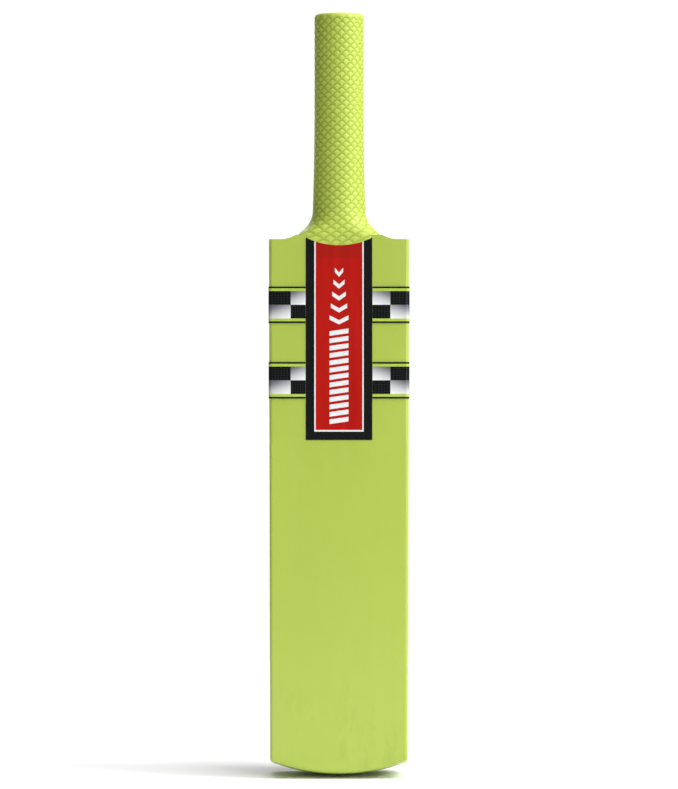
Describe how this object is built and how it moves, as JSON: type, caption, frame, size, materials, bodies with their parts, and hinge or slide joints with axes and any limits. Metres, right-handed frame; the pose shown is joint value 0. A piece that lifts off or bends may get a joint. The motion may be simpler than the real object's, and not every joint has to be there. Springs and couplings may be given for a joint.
{
  "type": "cricket bat",
  "caption": "Short cricket bat: lime-coated willow blade with a raised spine and printed films on its back, laminated cane handle in a V splice, and a scaled rubber grip.",
  "frame": {"origin": "centre of the bat's box at its toe: the lowest point of the toe is at z = 0", "axes": "+Z from toe to handle, striking face towards -Y, ridged back towards +Y, +X across the blade"},
  "size_m": [0.103, 0.0774, 0.5601],
  "materials": {
    "painted_willow": "satin paint",
    "cane": "sanded, glued strips",
    "spring_rubber": "matte",
    "twine": "waxed thread",
    "tape": "woven cloth",
    "black_film": "gloss",
    "label_film": "gloss",
    "band_film": "gloss",
    "grip_rubber": "satin"
  },
  "bodies": {
    "root": {"blade": "painted_willow", "cane_front_left": "cane", "cane_front_middle": "cane", "cane_front_right": "cane", "cane_front_inner_left": "cane", "cane_front_inner_middle": "cane", "cane_front_inner_right": "cane", "cane_back_inner_left": "cane", "cane_back_inner_middle": "cane", "cane_back_inner_right": "cane", "cane_back_left": "cane", "cane_back_middle": "cane", "cane_back_right": "cane", "rubber_spring_front": "spring_rubber", "rubber_spring_middle": "spring_rubber", "rubber_spring_back": "spring_rubber", "twine_binding": "twine", "grip_tape": "tape", "back_film": "black_film", "face_label": "label_film", "spine_label": "label_film", "band_upper_left": "band_film", "band_upper_right": "band_film", "band_lower_left": "band_film", "band_lower_right": "band_film", "grip": "grip_rubber"}
  },
  "joints": []
}
